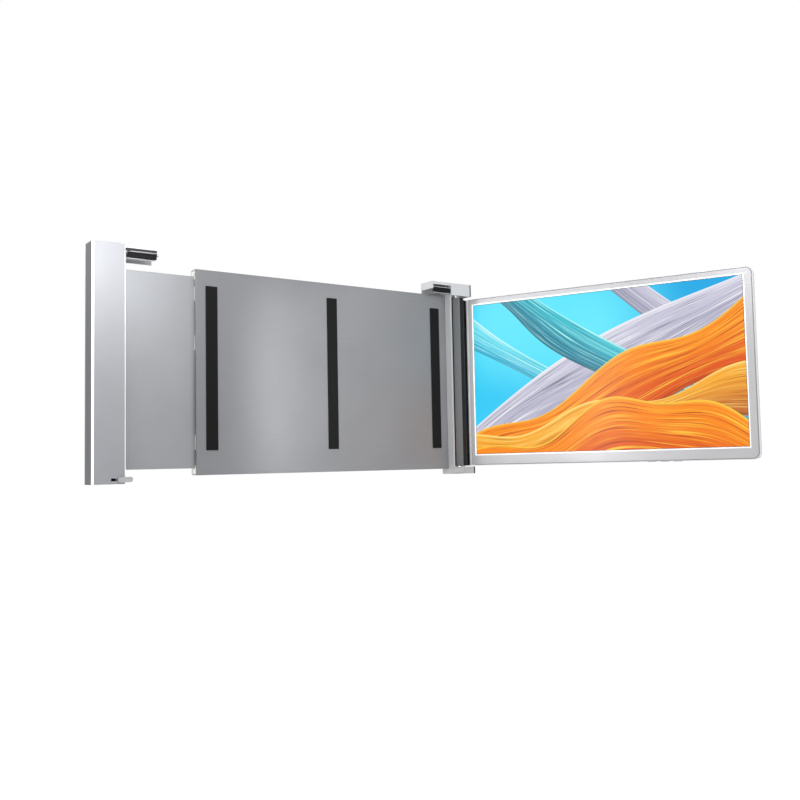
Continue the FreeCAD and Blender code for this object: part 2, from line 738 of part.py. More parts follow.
def tab(side, root, way, length, reach):
    """A sliding hook on the front face that holds the lid's lower corner."""
    low, width = span(root, way, f"{reach} - {length}", reach)
    floor = f"{TAB_Z} - tab_height / 2"
    bar = box(low, f"{FRONT} - tab_gap - tab_proud", floor, width, "tab_proud", "tab_height")
    corners = [("tab_corner", "y", upper, across) for upper in ("z-", "z+") for across in ("x-", "x+")]
    body = rounded(bar, *corners)
    low, width = span(root, way, "-tab_neck_inset - tab_neck_length", "-tab_neck_inset")
    neck = box(
        low,
        f"{FRONT} - tab_gap",
        f"{TAB_Z} - tab_neck_height / 2",
        width,
        "tab_gap + shell_wall + tab_slot_gap",
        "tab_neck_height",
    )
    inner = "-tab_neck_inset - tab_neck_length - tab_foot_margin"
    low, width = span(root, way, inner, "-tab_neck_inset + tab_foot_margin")
    foot = box(
        low,
        f"{FRONT} + shell_wall + tab_slot_gap",
        f"{TAB_Z} - tab_foot_height / 2",
        width,
        "tab_foot_thickness",
        "tab_foot_height",
    )
    keep(join(body, neck, foot), f"bottom_tab_{side}")


def hinge_barrel():
    """The dark hinge cover that turns with the screen, with a flat, a web and the bushes inside."""
    length = SCREEN_HEIGHT
    body = rod("0", "0", SCREEN_FLOOR, "barrel_radius", length)
    web = box(
        f"{SCREEN_LEFT} - web_thickness",
        "0",
        SCREEN_FLOOR,
        "web_thickness",
        SCREEN_BACK,
        length,
    )
    flat = doc.addObject("Part::Box", "flat")
    flat.Placement = FreeCAD.Placement(
        FreeCAD.Vector(), FreeCAD.Rotation(FreeCAD.Vector(0, 0, 1), -size("flat_angle"))
    )
    link(flat, "Placement.Rotation.Angle", "-flat_angle")
    link(flat, "Length", "barrel_radius")
    link(flat, "Width", "2 * barrel_radius")
    link(flat, "Height", length)
    place(
        flat,
        "barrel_flat * cos(flat_angle) - barrel_radius * sin(flat_angle)",
        "-barrel_flat * sin(flat_angle) - barrel_radius * cos(flat_angle)",
        SCREEN_FLOOR,
    )
    ends = (SCREEN_FLOOR, f"{SCREEN_TOP} - bush_length")
    bores = [rod("0", "0", level, "bush_radius", "bush_length") for level in ends]
    leaves = []
    for level in LEAF_LEVELS:
        leaf_x = f"{SCREEN_LEFT} - (web_thickness + leaf_thickness) / 2"
        root = "bush_radius + shaft_clearance"
        arm = box(leaf_x, root, level, "leaf_thickness", f"{SCREEN_INSIDE} - ({root})", "leaf_height")
        tongue = box(
            leaf_x,
            f"{SCREEN_INSIDE} - leaf_thickness",
            level,
            f"{SCREEN_LEFT} + hinge_bar + leaf_reach - ({leaf_x})",
            "leaf_thickness",
            "leaf_height",
        )
        leaves.append(join(arm, tongue))
    leaf_group = group(*leaves)
    cover = cut(join(cut(body, flat), web), *bores, leaf_group)
    keep_on_screen(cover, "hinge_barrel")
    keep_on_screen(leaf_group, "hinge_leaves")
    for label, level in (("lower_friction_bush", ends[0]), ("upper_friction_bush", ends[1])):
        ring = rod("0", "0", level, "bush_radius", "bush_length")
        bore = rod("0", "0", level, "shaft_radius + shaft_clearance", "bush_length")
        keep_on_screen(cut(ring, bore), label)


def screen_outline(name, depth, thickness):
    """The housing outline as a body: square at the hinge side, round at the outer corners."""
    body = new_body(name)
    width = f"edge_round + {FACE_WIDTH}"
    outline = sketch_on_front(body, depth, SCREEN_LEFT, SCREEN_FLOOR, width, SCREEN_HEIGHT)
    pad(body, outline, thickness)
    dress(body, "Fillet", "top_corner", ("y", "x+", "z+"))
    dress(body, "Fillet", "bottom_corner", ("y", "x+", "z-"))
    return body


def speaker_start(unit):
    return f"screen_offset + speaker_left + speaker_pitch * {unit}"


def case_points():
    shares = (0.04, 0.30, 0.58, 0.955)
    levels = (f"{SCREEN_FLOOR} + boss_level", f"{SCREEN_TOP} - boss_head_level")
    return [(f"screen_offset + {FACE_WIDTH} * {share}", level) for level in levels for share in shares]


def front_loops(base):
    """The edges of the housing's front face: those of its outer rim and those of its opening."""
    bounds = base.Shape.BoundBox
    rim = []
    mouth = []
    reach_x = size("active_width") / 2 + size("opening_margin") + size("bezel_left") / 2
    reach_z = size("active_height") / 2 + size("opening_margin") + size("bezel_left") / 2
    active_x = size("screen_offset") + size("bezel_left") + size("active_width") / 2
    active_z = bounds.ZMin + size("bezel_bottom") + size("active_height") / 2
    for number, edge in enumerate(base.Shape.Edges, start=1):
        if edge.BoundBox.YMax > bounds.YMin + TOLERANCE:
            continue
        centre = edge.CenterOfMass
        if abs(centre.x - active_x) < reach_x and abs(centre.z - active_z) < reach_z:
            mouth.append(f"Edge{number}")
        elif centre.x > size("screen_offset") + TOLERANCE:
            rim.append(f"Edge{number}")
    return rim, mouth


def bezel_blank():
    """The front half of the housing, with its opening, round hinge edge and chamfered rim."""
    body = screen_outline("bezel_blank", "screen_setback", "screen_thickness - back_wall")
    inside = sketch_on_front(
        body,
        LCD_FRONT,
        f"{SCREEN_LEFT} + hinge_bar",
        f"{SCREEN_FLOOR} + bezel_wall",
        f"edge_round + {FACE_WIDTH} - hinge_bar - bezel_wall",
        f"{SCREEN_HEIGHT} - 2 * bezel_wall",
    )
    pocket(body, inside, "screen_thickness - back_wall - bezel_plate")
    opening = sketch_on_front(
        body,
        "screen_setback",
        f"{ACTIVE_LEFT} - opening_margin",
        f"{ACTIVE_FLOOR} - opening_margin",
        "active_width + 2 * opening_margin",
        "active_height + 2 * opening_margin",
    )
    pocket(body, opening, "bezel_plate")
    dress(body, "Fillet", "edge_round", ("z", "x-", "y-"))
    doc.recompute()
    for loop, alias in ((0, "rim_chamfer"), (1, "opening_chamfer")):
        base = body.Tip
        edges = front_loops(base)[loop]
        item = body.newObject("PartDesign::Chamfer", "edge")
        item.Base = (base, edges)
        link(item, "Size", alias)
        doc.recompute()
    return body


def screen_housing():
    points = case_points()
    front = f"{LCD_FRONT} - bezel_plate / 2"
    bosses = [rod(x, front, z, "boss_radius", f"{SCREEN_INSIDE} - ({front})", "y") for x, z in points]
    screws = screw_set(points, -1, SCREEN_BACK, "case_screw")
    keep_on_screen(screws, "screen_cover_screws")
    sockets = [socket_hole(0, "usb_width"), socket_hole(1, "usb_width"), socket_hole(2, "hdmi_width")]
    buttons = [button_hole(index) for index in range(3)]
    leaf_slots = [
        box(
            SCREEN_LEFT,
            f"{SCREEN_INSIDE} - leaf_thickness",
            level,
            "hinge_bar",
            "leaf_thickness",
            "leaf_height",
        )
        for level in LEAF_LEVELS
    ]
    frame = cut(join(bezel_blank(), *bosses), screws, *sockets, *buttons, *leaf_slots)
    keep_on_screen(frame, "bezel_frame")
    cover = screen_outline("cover_blank", SCREEN_INSIDE, "back_wall")
    grilles = [
        rod(
            f"{speaker_start(unit)} + speaker_width / 2 + grille_pitch * {step}",
            SCREEN_INSIDE,
            f"{SCREEN_FLOOR} + speaker_level + speaker_height / 2",
            "grille_hole",
            "back_wall",
            "y",
        )
        for unit in (0, 1)
        for step in (-3, -2, -1, 0, 1, 2, 3)
    ]
    keep_on_screen(cut(cover, screws, *grilles), "screen_back_cover")


def display_stack():
    glass = box(
        f"{ACTIVE_LEFT} - opening_margin",
        f"{LCD_FRONT} - glass_thickness",
        f"{ACTIVE_FLOOR} - opening_margin",
        "active_width + 2 * opening_margin",
        "glass_thickness",
        "active_height + 2 * opening_margin",
    )
    keep_on_screen(glass, "cover_glass")
    height = "active_height + panel_foot + panel_head"
    panel = box(PANEL_LEFT, LCD_FRONT, PANEL_FLOOR, PANEL_WIDTH, "panel_thickness", height)
    keep_on_screen(panel, "lcd_panel")
    light = box(
        PANEL_LEFT,
        LIGHT_FRONT,
        f"{PANEL_FLOOR} + led_height",
        PANEL_WIDTH,
        "backlight_thickness",
        f"{height} - led_height",
    )
    keep_on_screen(light, "backlight_unit")
    bar = box(
        f"{PANEL_LEFT} + led_inset",
        LIGHT_FRONT,
        PANEL_FLOOR,
        f"{PANEL_WIDTH} - 2 * led_inset",
        "backlight_thickness",
        "led_height",
    )
    keep_on_screen(bar, "led_bar")


def electronics():
    board_x = f"({FACE_RIGHT} - board_right - board_width)"
    board_z = f"({SCREEN_FLOOR} + board_level)"
    board = box(board_x, BOARD_FRONT, board_z, "board_width", "board_thickness", "board_height")
    keep_on_screen(board, "driver_board")
    chips = [
        box(
            f"{board_x} + board_width * {left}",
            BOARD_BACK,
            f"{board_z} + board_height * {low}",
            f"board_width * {wide}",
            "chip_height",
            f"board_height * {tall}",
        )
        for left, low, wide, tall in (
            (0.04, 0.45, 0.12, 0.38),
            (0.55, 0.3, 0.14, 0.44),
            (0.76, 0.55, 0.08, 0.2),
            (0.76, 0.15, 0.08, 0.2),
        )
    ]
    keep_on_screen(group(*chips), "board_chips")
    ribbon_x = f"{board_x} + board_width * 0.24"
    fold = box(
        ribbon_x,
        f"{LCD_FRONT} + ribbon_thickness",
        f"{PANEL_FLOOR} - ribbon_fold",
        "ribbon_width",
        f"{BOARD_BACK} - {LCD_FRONT}",
        "ribbon_fold",
    )
    rise = box(
        ribbon_x,
        BOARD_BACK,
        f"{PANEL_FLOOR} - ribbon_fold",
        "ribbon_width",
        "ribbon_thickness",
        f"{board_z} + ribbon_hold - {PANEL_FLOOR} + ribbon_fold",
    )
    keep_on_screen(join(fold, rise), "panel_ribbon")
    port_board = box(
        f"{port_centre(2)} - hdmi_width / 2 - port_board_margin",
        PORT_BACK,
        f"{SCREEN_FLOOR} + bezel_wall + slide_clearance",
        "2 * port_pitch + usb_width / 2 + hdmi_width / 2 + 2 * port_board_margin",
        "port_board_wall",
        "port_board_height",
    )
    keep_on_screen(port_board, "port_board")
    link_floor = f"({SCREEN_FLOOR} + bezel_wall + slide_clearance + port_board_height - link_hold)"
    bridge = box(
        f"{board_x} + board_width - link_width - slide_clearance",
        BOARD_BACK,
        link_floor,
        "link_width",
        f"{PORT_BACK} - {BOARD_BACK}",
        f"{board_z} + ribbon_hold - {link_floor}",
    )
    keep_on_screen(bridge, "board_link")
    units = [
        box(
            speaker_start(unit),
            BOARD_FRONT,
            f"{SCREEN_FLOOR} + speaker_level",
            "speaker_width",
            "speaker_thickness",
            "speaker_height",
        )
        for unit in (0, 1)
    ]
    keep_on_screen(group(*units), "speakers")


def port_centre(index):
    return f"({FACE_RIGHT} - port_first - port_pitch * {index})"


def socket_hole(index, width):
    return box(
        f"{port_centre(index)} - {width} / 2",
        f"{PORT_BACK} - usb_height",
        SCREEN_FLOOR,
        width,
        "usb_height",
        "bezel_wall",
    )


def socket(index, width):
    """A metal socket shell with its tongue, open at the lower edge of the housing."""
    mouth = f"({SCREEN_FLOOR} + socket_inset)"
    low = f"({port_centre(index)} - {width} / 2)"
    front = f"({PORT_BACK} - usb_height)"
    shell = box(low, front, mouth, width, "usb_height", "socket_depth")
    hollow = box(
        f"{low} + socket_wall",
        f"{front} + socket_wall",
        mouth,
        f"{width} - 2 * socket_wall",
        "usb_height - 2 * socket_wall",
        "socket_depth - socket_wall",
    )
    tongue = box(
        f"{low} + 3 * socket_wall",
        f"{front} + (usb_height - tongue_height) / 2",
        f"{mouth} + 3 * socket_wall",
        f"{width} - 6 * socket_wall",
        "tongue_height",
        "socket_depth - 4 * socket_wall",
    )
    return join(cut(shell, hollow), tongue)


def button_centre(index):
    return f"({FACE_RIGHT} - button_first - button_pitch * {index})"


def button_hole(index):
    return box(
        f"{button_centre(index)} - button_length / 2 - button_gap",
        "screen_setback + button_depth - button_height / 2 - button_gap",
        SCREEN_FLOOR,
        "button_length + 2 * button_gap",
        "button_height + 2 * button_gap",
        "bezel_wall",
    )


def button(index, label):
    """A push button with a flange inside the lower wall."""
    cap = box(
        f"{button_centre(index)} - button_length / 2",
        "screen_setback + button_depth - button_height / 2",
        f"{SCREEN_FLOOR} - button_proud",
        "button_length",
        "button_height",
        "button_proud + bezel_wall + button_gap + button_flange",
    )
    flange = box(
        f"{button_centre(index)} - button_length / 2 - button_flange",
        "screen_setback + button_depth - (button_height + button_flange) / 2",
        f"{SCREEN_FLOOR} + bezel_wall + button_gap",
        "button_length + 2 * button_flange",
        "button_height + button_flange",
        "button_flange",
    )
    keep_on_screen(join(cap, flange), label)


def buttons_and_ports():
    keep_on_screen(group(socket(0, "usb_width"), socket(1, "usb_width")), "usb_c_sockets")
    keep_on_screen(socket(2, "hdmi_width"), "hdmi_socket")
    labels = ("power_button", "plus_button", "minus_button")
    for index, label in enumerate(labels):
        button(index, label)
    dome_floor = f"({SCREEN_FLOOR} + bezel_wall + button_gap + button_flange + button_stroke + switch_gap)"
    board = box(
        f"{button_centre(2)} - switch_margin",
        "screen_setback + button_depth - button_height",
        f"{dome_floor} + switch_dome",
        "2 * button_pitch + 2 * switch_margin",
        f"{SCREEN_INSIDE} - screen_setback - button_depth + button_height",
        "switch_board",
    )
    keep_on_screen(board, "button_board")
    domes = [
        box(
            f"{button_centre(index)} - button_height",
            "screen_setback + button_depth - button_height / 2",
            dome_floor,
            "2 * button_height",
            "button_height",
            "switch_dome",
        )
        for index in range(len(labels))
    ]
    keep_on_screen(group(*domes), "button_switches")


front_plate()
lid_pads()
cover_screws = rear_cover()
guide_rail("lower_guide_rail", LOWER_RAIL, f"{LOWER_RAIL} + rail_height - groove_depth", cover_screws)
guide_rail("upper_guide_rail", UPPER_RAIL, UPPER_RAIL, cover_screws)
stop_pin()
slide_glides()
wing()
upright()
hinge_blocks()
hinge_hardware()
clip("left", CARRIAGE, 1, "clip_reach_left", "0")
clip("right", BLOCK, -1, "clip_reach_right", "block_width")
tab("left", CARRIAGE, 1, "tab_length_left", "tab_reach_left")
tab("right", BLOCK, -1, "tab_length_right", "tab_reach_right")
hinge_barrel()
screen_housing()
display_stack()
electronics()
buttons_and_ports()

doc.recompute()
for item in doc.Objects:
    if "Invalid" in item.State or "Error" in item.State:
        raise RuntimeError(f"{item.Label} failed: {item.State}")
for item in subparts:
    if item.Shape.isNull() or not item.Shape.isValid() or not item.Shape.Solids:
        raise RuntimeError(f"{item.Label} has no valid solid")
os.makedirs("parts", exist_ok=True)
for item in subparts:
    item.Shape.exportStep(f"parts/{item.Label}.step")
print(len(subparts), "sub-parts")
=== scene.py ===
import json
import math
import bmesh
import bpy
from mathutils import Matrix, Vector

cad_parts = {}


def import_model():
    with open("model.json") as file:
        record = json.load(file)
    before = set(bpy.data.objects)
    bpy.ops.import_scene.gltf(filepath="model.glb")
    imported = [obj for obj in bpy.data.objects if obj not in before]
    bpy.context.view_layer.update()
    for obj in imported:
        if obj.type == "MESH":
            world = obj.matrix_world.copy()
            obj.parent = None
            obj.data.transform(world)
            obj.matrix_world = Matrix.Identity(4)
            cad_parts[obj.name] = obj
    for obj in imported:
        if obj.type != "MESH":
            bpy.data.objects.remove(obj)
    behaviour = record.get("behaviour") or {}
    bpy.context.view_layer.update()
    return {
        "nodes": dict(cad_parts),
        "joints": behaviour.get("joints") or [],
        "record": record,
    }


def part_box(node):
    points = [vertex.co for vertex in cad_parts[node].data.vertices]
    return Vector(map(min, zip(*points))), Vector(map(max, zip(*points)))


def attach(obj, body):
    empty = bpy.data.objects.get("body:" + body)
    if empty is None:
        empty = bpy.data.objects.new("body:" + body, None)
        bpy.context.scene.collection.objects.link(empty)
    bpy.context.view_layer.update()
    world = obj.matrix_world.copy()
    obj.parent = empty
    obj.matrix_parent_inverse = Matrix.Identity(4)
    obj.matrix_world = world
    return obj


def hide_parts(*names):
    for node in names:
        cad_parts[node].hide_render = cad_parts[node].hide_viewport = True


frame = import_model()

# The looks of a fold-out screen: its finishes, broken edges, screws, springs and picture, and the studio.
# Places are in metres in the row frame: X to the right, Y to the back, Z up.
MM = 0.001

# What the frame says of each node
BODIES = frame["record"]["behaviour"]["bodies"]
BODY_OF = {node: body for body, nodes in BODIES.items() for node in nodes}

# The screen's own axes: X outward from the hinge, Y to its back
REST_TURN = math.radians(66.45)
HINGE = next(joint for joint in frame["joints"] if joint["name"] == "monitor_hinge")
SCREEN = Matrix.Translation(Vector(HINGE["pos_m"])) @ Matrix.Rotation(-REST_TURN, 4, "Z")
OUTWARD = SCREEN.to_3x3() @ Vector((1, 0, 0))
FORWARD = SCREEN.to_3x3() @ Vector((0, -1, 0))
BACKWARD = SCREEN.to_3x3() @ Vector((0, 1, 0))

# The direction that the flat of the hinge column faces; the flat is painted a lighter grey as a painted
# highlight
FLAT_ANGLE = math.radians(60.0)
FLAT = SCREEN.to_3x3() @ Vector((math.cos(FLAT_ANGLE), -math.sin(FLAT_ANGLE), 0))

# Camera: angles in degrees, lens and sensor in millimetres
CAMERA_PLACE = (-0.4993, -0.8653, -0.0986)
CAMERA_HEADING = 36.742
CAMERA_RISE = 3.893
CAMERA_ROLL = -1.317
CAMERA_LENS = 42.46
CAMERA_SHIFT = -0.0563
CAMERA_SENSOR = 36.0
CAMERA_NEAR = 0.01

# Studio
FLOOR_LEVEL = -0.142
FLOOR_REACH = 12.0
FLOOR_GLOW = 0.05
PAPER = (0.97, 0.97, 0.97)
WHITE = (1.0, 1.0, 1.0, 1.0)

# Finishes
SILVER = (0.36, 0.37, 0.39)
WING_SILVER = (0.255, 0.262, 0.28)
ARM_SILVER = (0.36, 0.36, 0.37)
BRIGHT_SILVER = (0.50, 0.505, 0.52)
# Painted highlight: near-white on the wing's chamfers, the bezel's rounded hinge edge and a band round the
# picture
PAINTED_HIGHLIGHT = (0.93, 0.93, 0.94)
BEZEL_FACE = (0.41, 0.41, 0.425)
# Painted shade: a dark line on the bezel's rounded rim
BEZEL_RIM_SHADE = (0.20, 0.20, 0.21)
# Painted light: the bezel's sides lighter than its face
BEZEL_SIDE_LIGHT = (0.62, 0.61, 0.62)
# Painted shade for the wing's side that faces left
SIDE_SHADE_GREY = (0.045, 0.047, 0.052)
CHASSIS_GREY = (0.20, 0.205, 0.215)
COLUMN_BLACK = (0.016, 0.016, 0.017)
# Painted highlight for the flat of the hinge column
COLUMN_LIT_GREY = (0.118, 0.118, 0.121)
CAP_BLACK = (0.010, 0.010, 0.011)
BLACK = (0.006, 0.006, 0.0065)

# Grain of every surface: scales per metre, shares from 0 to 1
CLOUD_SCALE = 14.0
CLOUD_SHARE = 0.6
CLOUD_EDGES = (0.3, 0.7)
GRAIN_DETAIL = 3.0
GLOSS_SPREAD = 0.16
BUMP_STRENGTH = 0.6
BLAST = 5200.0

# Where a zone starts and is full, as the cosine between a face and a direction
FACE_TURN = (0.90, 0.96)
SIDE_TURN = (0.90, 0.80)
LINE_TURN = (0.50, 0.60)
ROUND_TURN = (-0.08, -0.16)
ROUND_FRONT = (0.1, 0.2)
INSIDE_TURN = (-0.6, -0.8)

# Bezel: the painted shade line's edges in from the rim, the painted highlight bands' reach from the hinge
# and from the picture
RIM_CORNER = 7.0 * MM
LINE_OUTER = (0.3 * MM, 0.6 * MM)
LINE_INNER = (1.6 * MM, 1.3 * MM)
LINE_REACH = (12.0 * MM, 16.0 * MM)
ROUND_REACH = (12.0 * MM, 10.0 * MM)
PICTURE_HIGHLIGHT_BAND = (1.9 * MM, 1.6 * MM)
PICTURE_MARGIN = 0.3 * MM

# Clips: depths behind the front edge and in front of the back, and heights in the row frame; the inside of a
# clip gets painted shade and the flap's rolled edge a painted highlight
CLIP_FRONT = (-8.6 * MM, -8.0 * MM)
CLIP_BACK = (-1.0 * MM, -1.6 * MM)
CLIP_UNDERSIDE = (98.0 * MM, 100.0 * MM)
FLAP_BLACK = (97.2 * MM, 98.0 * MM)
FLAP_ROLL_HIGHLIGHT = (103.2 * MM, 103.5 * MM)

# Ribbons of the picture: noise as scale and detail, the rest as shares of a ribbon's width or of a colour
STREAK_RATE = 9.0
STREAK_RUN = 0.7
BROAD_STREAKS = (1.6, 1.0)
FINE_STREAKS = (6.5, 6.0)
WANDER = 0.5
BODY_EDGES = (0.1, 0.9)
GLEAM_FINE = 0.65
GLEAM_EDGES = (0.50, 0.66)
HOLLOW_FINE = 0.75
HOLLOW_EDGES = (0.46, 0.34)
HOLLOW_TINT = 0.55
FOLD_EDGES = (0.16, 0.0)
FOLD_DEPTH = 0.7
FOLD_TINT = 0.5
LIGHT_EDGES = (0.93, 1.0)
SOFT_EDGE = 0.012

# Picture: its ground and glow, and each silk as dark, middle and light
GROUND_LEFT = (0.03, 0.62, 0.95)
GROUND_RIGHT = (0.00, 0.40, 0.80)
GROUND_SLANT = 0.7
HALO = (0.10, 0.80, 1.0)
HALO_PLACE = (0.30, 0.85)
HALO_EDGES = (0.30, 0.0)
BORDER = (0.02, 0.02, 0.03)
BORDER_ACROSS = 0.0006
BORDER_UP = 0.001
DARK_GLASS = (0.01, 0.01, 0.012, 1.0)
PICTURE_GLOW = 0.97
SILKS = {
    "orange": ((0.78, 0.09, 0.00), (1.0, 0.27, 0.00), (1.0, 0.62, 0.05)),
    "amber": ((0.62, 0.17, 0.02), (0.98, 0.42, 0.02), (1.0, 0.80, 0.22)),
    "silver": ((0.34, 0.34, 0.47), (0.58, 0.57, 0.70), (0.93, 0.92, 0.97)),
    "teal": ((0.00, 0.22, 0.33), (0.02, 0.52, 0.62), (0.45, 0.95, 0.92)),
    "foam": ((0.02, 0.50, 0.72), (0.15, 0.78, 0.90), (0.75, 1.0, 0.98)),
    "olive": ((0.10, 0.16, 0.05), (0.42, 0.42, 0.08), (0.85, 0.86, 0.30)),
}

# Broken edges: distances in metres, angles in degrees
MERGE = 0.001 * MM
FLAT_LIMIT = 0.5
SHARP_ANGLE = 25.0
EDGE_SEGMENTS = 2

# Screws: the socket and the head's edge as shares of the head's radius
HEAD_RADIUS = 1.78 * MM
SHANK_RADIUS = 0.88 * MM
HEAD_HEIGHT = 0.5
HEAD_BREAK = 0.12
SOCKET_RADIUS = 0.46
SOCKET_DEPTH = 0.45
SOCKET_BREAK = 0.05
SOCKET_LIP = 0.02
LOBE_HEIGHT = 0.10
LOBES = 6
SCREW_SIDES = 36
SCREW_SHARP = 40.0

# Torsion springs
COIL_TURNS = 6
COIL_STEPS = 20
COIL_WIRE = 0.2 * MM
COIL_ROUNDNESS = 4
FLAP_LEG = 3.4 * MM
BRACKET_LEG = 1.6 * MM


def node_box(node, margin=0.0):
    """A node's corners in the screen's own axes, drawn in by a margin."""
    corners = [SCREEN.inverted() @ vertex.co for vertex in frame["nodes"][node].data.vertices]
    low = Vector([min(corner[index] for corner in corners) for index in range(3)])
    high = Vector([max(corner[index] for corner in corners) for index in range(3)])
    inset = Vector((margin, 0, margin))
    return low + inset, high - inset


PICTURE = node_box("cover_glass", PICTURE_MARGIN)
RIM = node_box("screen_back_cover")


def tint(colour, factor):
    return tuple(min(1.0, channel * factor) for channel in colour)


class Signal:
    """A shader socket with arithmetic, so that a pattern reads as a formula."""

    def __init__(self, tree, socket):
        self.tree = tree
        self.socket = socket

    def math(self, operation, *others):
        node = self.tree.nodes.new("ShaderNodeMath")
        node.operation = operation
        for slot, item in zip(node.inputs, (self, *others)):
            if isinstance(item, Signal):
                self.tree.links.new(item.socket, slot)
            else:
                slot.default_value = item
        return Signal(self.tree, node.outputs[0])

    def __add__(self, other):
        return self.math("ADD", other)

    def __sub__(self, other):
        return self.math("SUBTRACT", other)

    def __mul__(self, other):
        return self.math("MULTIPLY", other)

    def __truediv__(self, other):
        return self.math("DIVIDE", other)

    def wave(self, rate, phase):
        return (self * rate + phase).math("SINE")

    def ramp(self, start, full):
        """0 up to start and 1 from full on, smooth between. start may be the larger."""
        node = self.tree.nodes.new("ShaderNodeMapRange")
        node.interpolation_type = "SMOOTHSTEP"
        self.tree.links.new(self.socket, node.inputs["Value"])
        node.inputs["From Min"].default_value = start
        node.inputs["From Max"].default_value = full
        return Signal(self.tree, node.outputs["Result"])


def blend_colours(tree, factor, first, second):
    """A colour mix. Either side may be a colour or a socket."""
    node = tree.nodes.new("ShaderNodeMix")
    node.data_type = "RGBA"
    tree.links.new(factor.socket, node.inputs["Factor"])
    for name, item in (("A", first), ("B", second)):
        slot = next(entry for entry in node.inputs if entry.name == name and entry.type == "RGBA")
        if isinstance(item, bpy.types.NodeSocket):
            tree.links.new(item, slot)
        else:
            slot.default_value = (*item, 1.0)
    return next(entry for entry in node.outputs if entry.type == "RGBA")


def noise(tree, vector, scale, detail, stretch=(1, 1, 1)):
    mapping = tree.nodes.new("ShaderNodeMapping")
    mapping.inputs["Scale"].default_value = stretch
    tree.links.new(vector, mapping.inputs["Vector"])
    node = tree.nodes.new("ShaderNodeTexNoise")
    node.inputs["Scale"].default_value = scale
    node.inputs["Detail"].default_value = detail
    tree.links.new(mapping.outputs["Vector"], node.inputs["Vector"])
    return Signal(tree, node.outputs["Fac"])


def new_material(name, metallic, roughness, specular):
    material = bpy.data.materials.new(name)
    material.use_nodes = True
    tree = material.node_tree
    shader = tree.nodes["Principled BSDF"]
    shader.inputs["Metallic"].default_value = metallic
    shader.inputs["Roughness"].default_value = roughness
    shader.inputs["Specular IOR Level"].default_value = specular
    coordinates = tree.nodes.new("ShaderNodeTexCoord")
    return material, tree, shader, coordinates


def axes(tree, socket):
    split = tree.nodes.new("ShaderNodeSeparateXYZ")
    tree.links.new(socket, split.inputs[0])
    return [Signal(tree, split.outputs[index]) for index in range(3)]


def along(signals, direction):
    """How far a place or a normal reaches in a direction."""
    aim = Vector(direction).normalized()
    x, y, z = signals
    return x * aim.x + y * aim.y + z * aim.z


def textured(
    name, colour, metallic, roughness, grain, depth, stretch=(1, 1, 1),
    spread=0.05, faces=(), specular=0.5, zones=None,
):
    """A surface with cloudy colour, uneven gloss and a grain bump.

    grain is the grain's scale per metre and depth its height in millimetres. Each entry of faces
    is a direction in the object's own axes, a colour and a roughness for the faces turned that way.
    zones is a function that paints parts of the surface from their place and their direction.
    """
    material, tree, shader, coordinates = new_material(name, metallic, roughness, specular)
    place = coordinates.outputs["Object"]
    cloud = noise(tree, place, CLOUD_SCALE, GRAIN_DETAIL)
    fine = noise(tree, place, grain, GRAIN_DETAIL, stretch)
    shade = (cloud * CLOUD_SHARE + fine * (1 - CLOUD_SHARE)).ramp(*CLOUD_EDGES)
    mixed = blend_colours(tree, shade, tint(colour, 1 - spread), tint(colour, 1 + spread))
    gloss = fine * GLOSS_SPREAD + (roughness - GLOSS_SPREAD / 2)
    normal = axes(tree, coordinates.outputs["Normal"])
    for direction, face_colour, face_roughness in faces:
        facing = along(normal, direction).ramp(*FACE_TURN)
        mixed = blend_colours(tree, facing, mixed, face_colour)
        gloss = gloss + facing * (face_roughness - roughness)
    if zones:
        for cover, zone_colour in zones(axes(tree, place), normal):
            mixed = blend_colours(tree, cover, mixed, zone_colour)
    tree.links.new(mixed, shader.inputs["Base Color"])
    tree.links.new(gloss.socket, shader.inputs["Roughness"])
    bump = tree.nodes.new("ShaderNodeBump")
    bump.inputs["Distance"].default_value = depth * MM
    bump.inputs["Strength"].default_value = BUMP_STRENGTH
    tree.links.new(fine.socket, bump.inputs["Height"])
    tree.links.new(bump.outputs["Normal"], shader.inputs["Normal"])
    return material


def in_screen(tree, coordinates):
    """The place on the picture: 0 to 1 across and up."""
    place = axes(tree, coordinates.outputs["Object"])
    low, high = PICTURE
    start = OUTWARD.dot(SCREEN.translation) + low.x
    across = (along(place, OUTWARD) - start) / (high.x - low.x)
    up = (place[2] - low.z) / (high.z - low.z)
    return across, up


def from_middle(signal, middle, half):
    """How far a place lies outside a span, negative inside it."""
    return (signal - middle).math("ABSOLUTE") - half


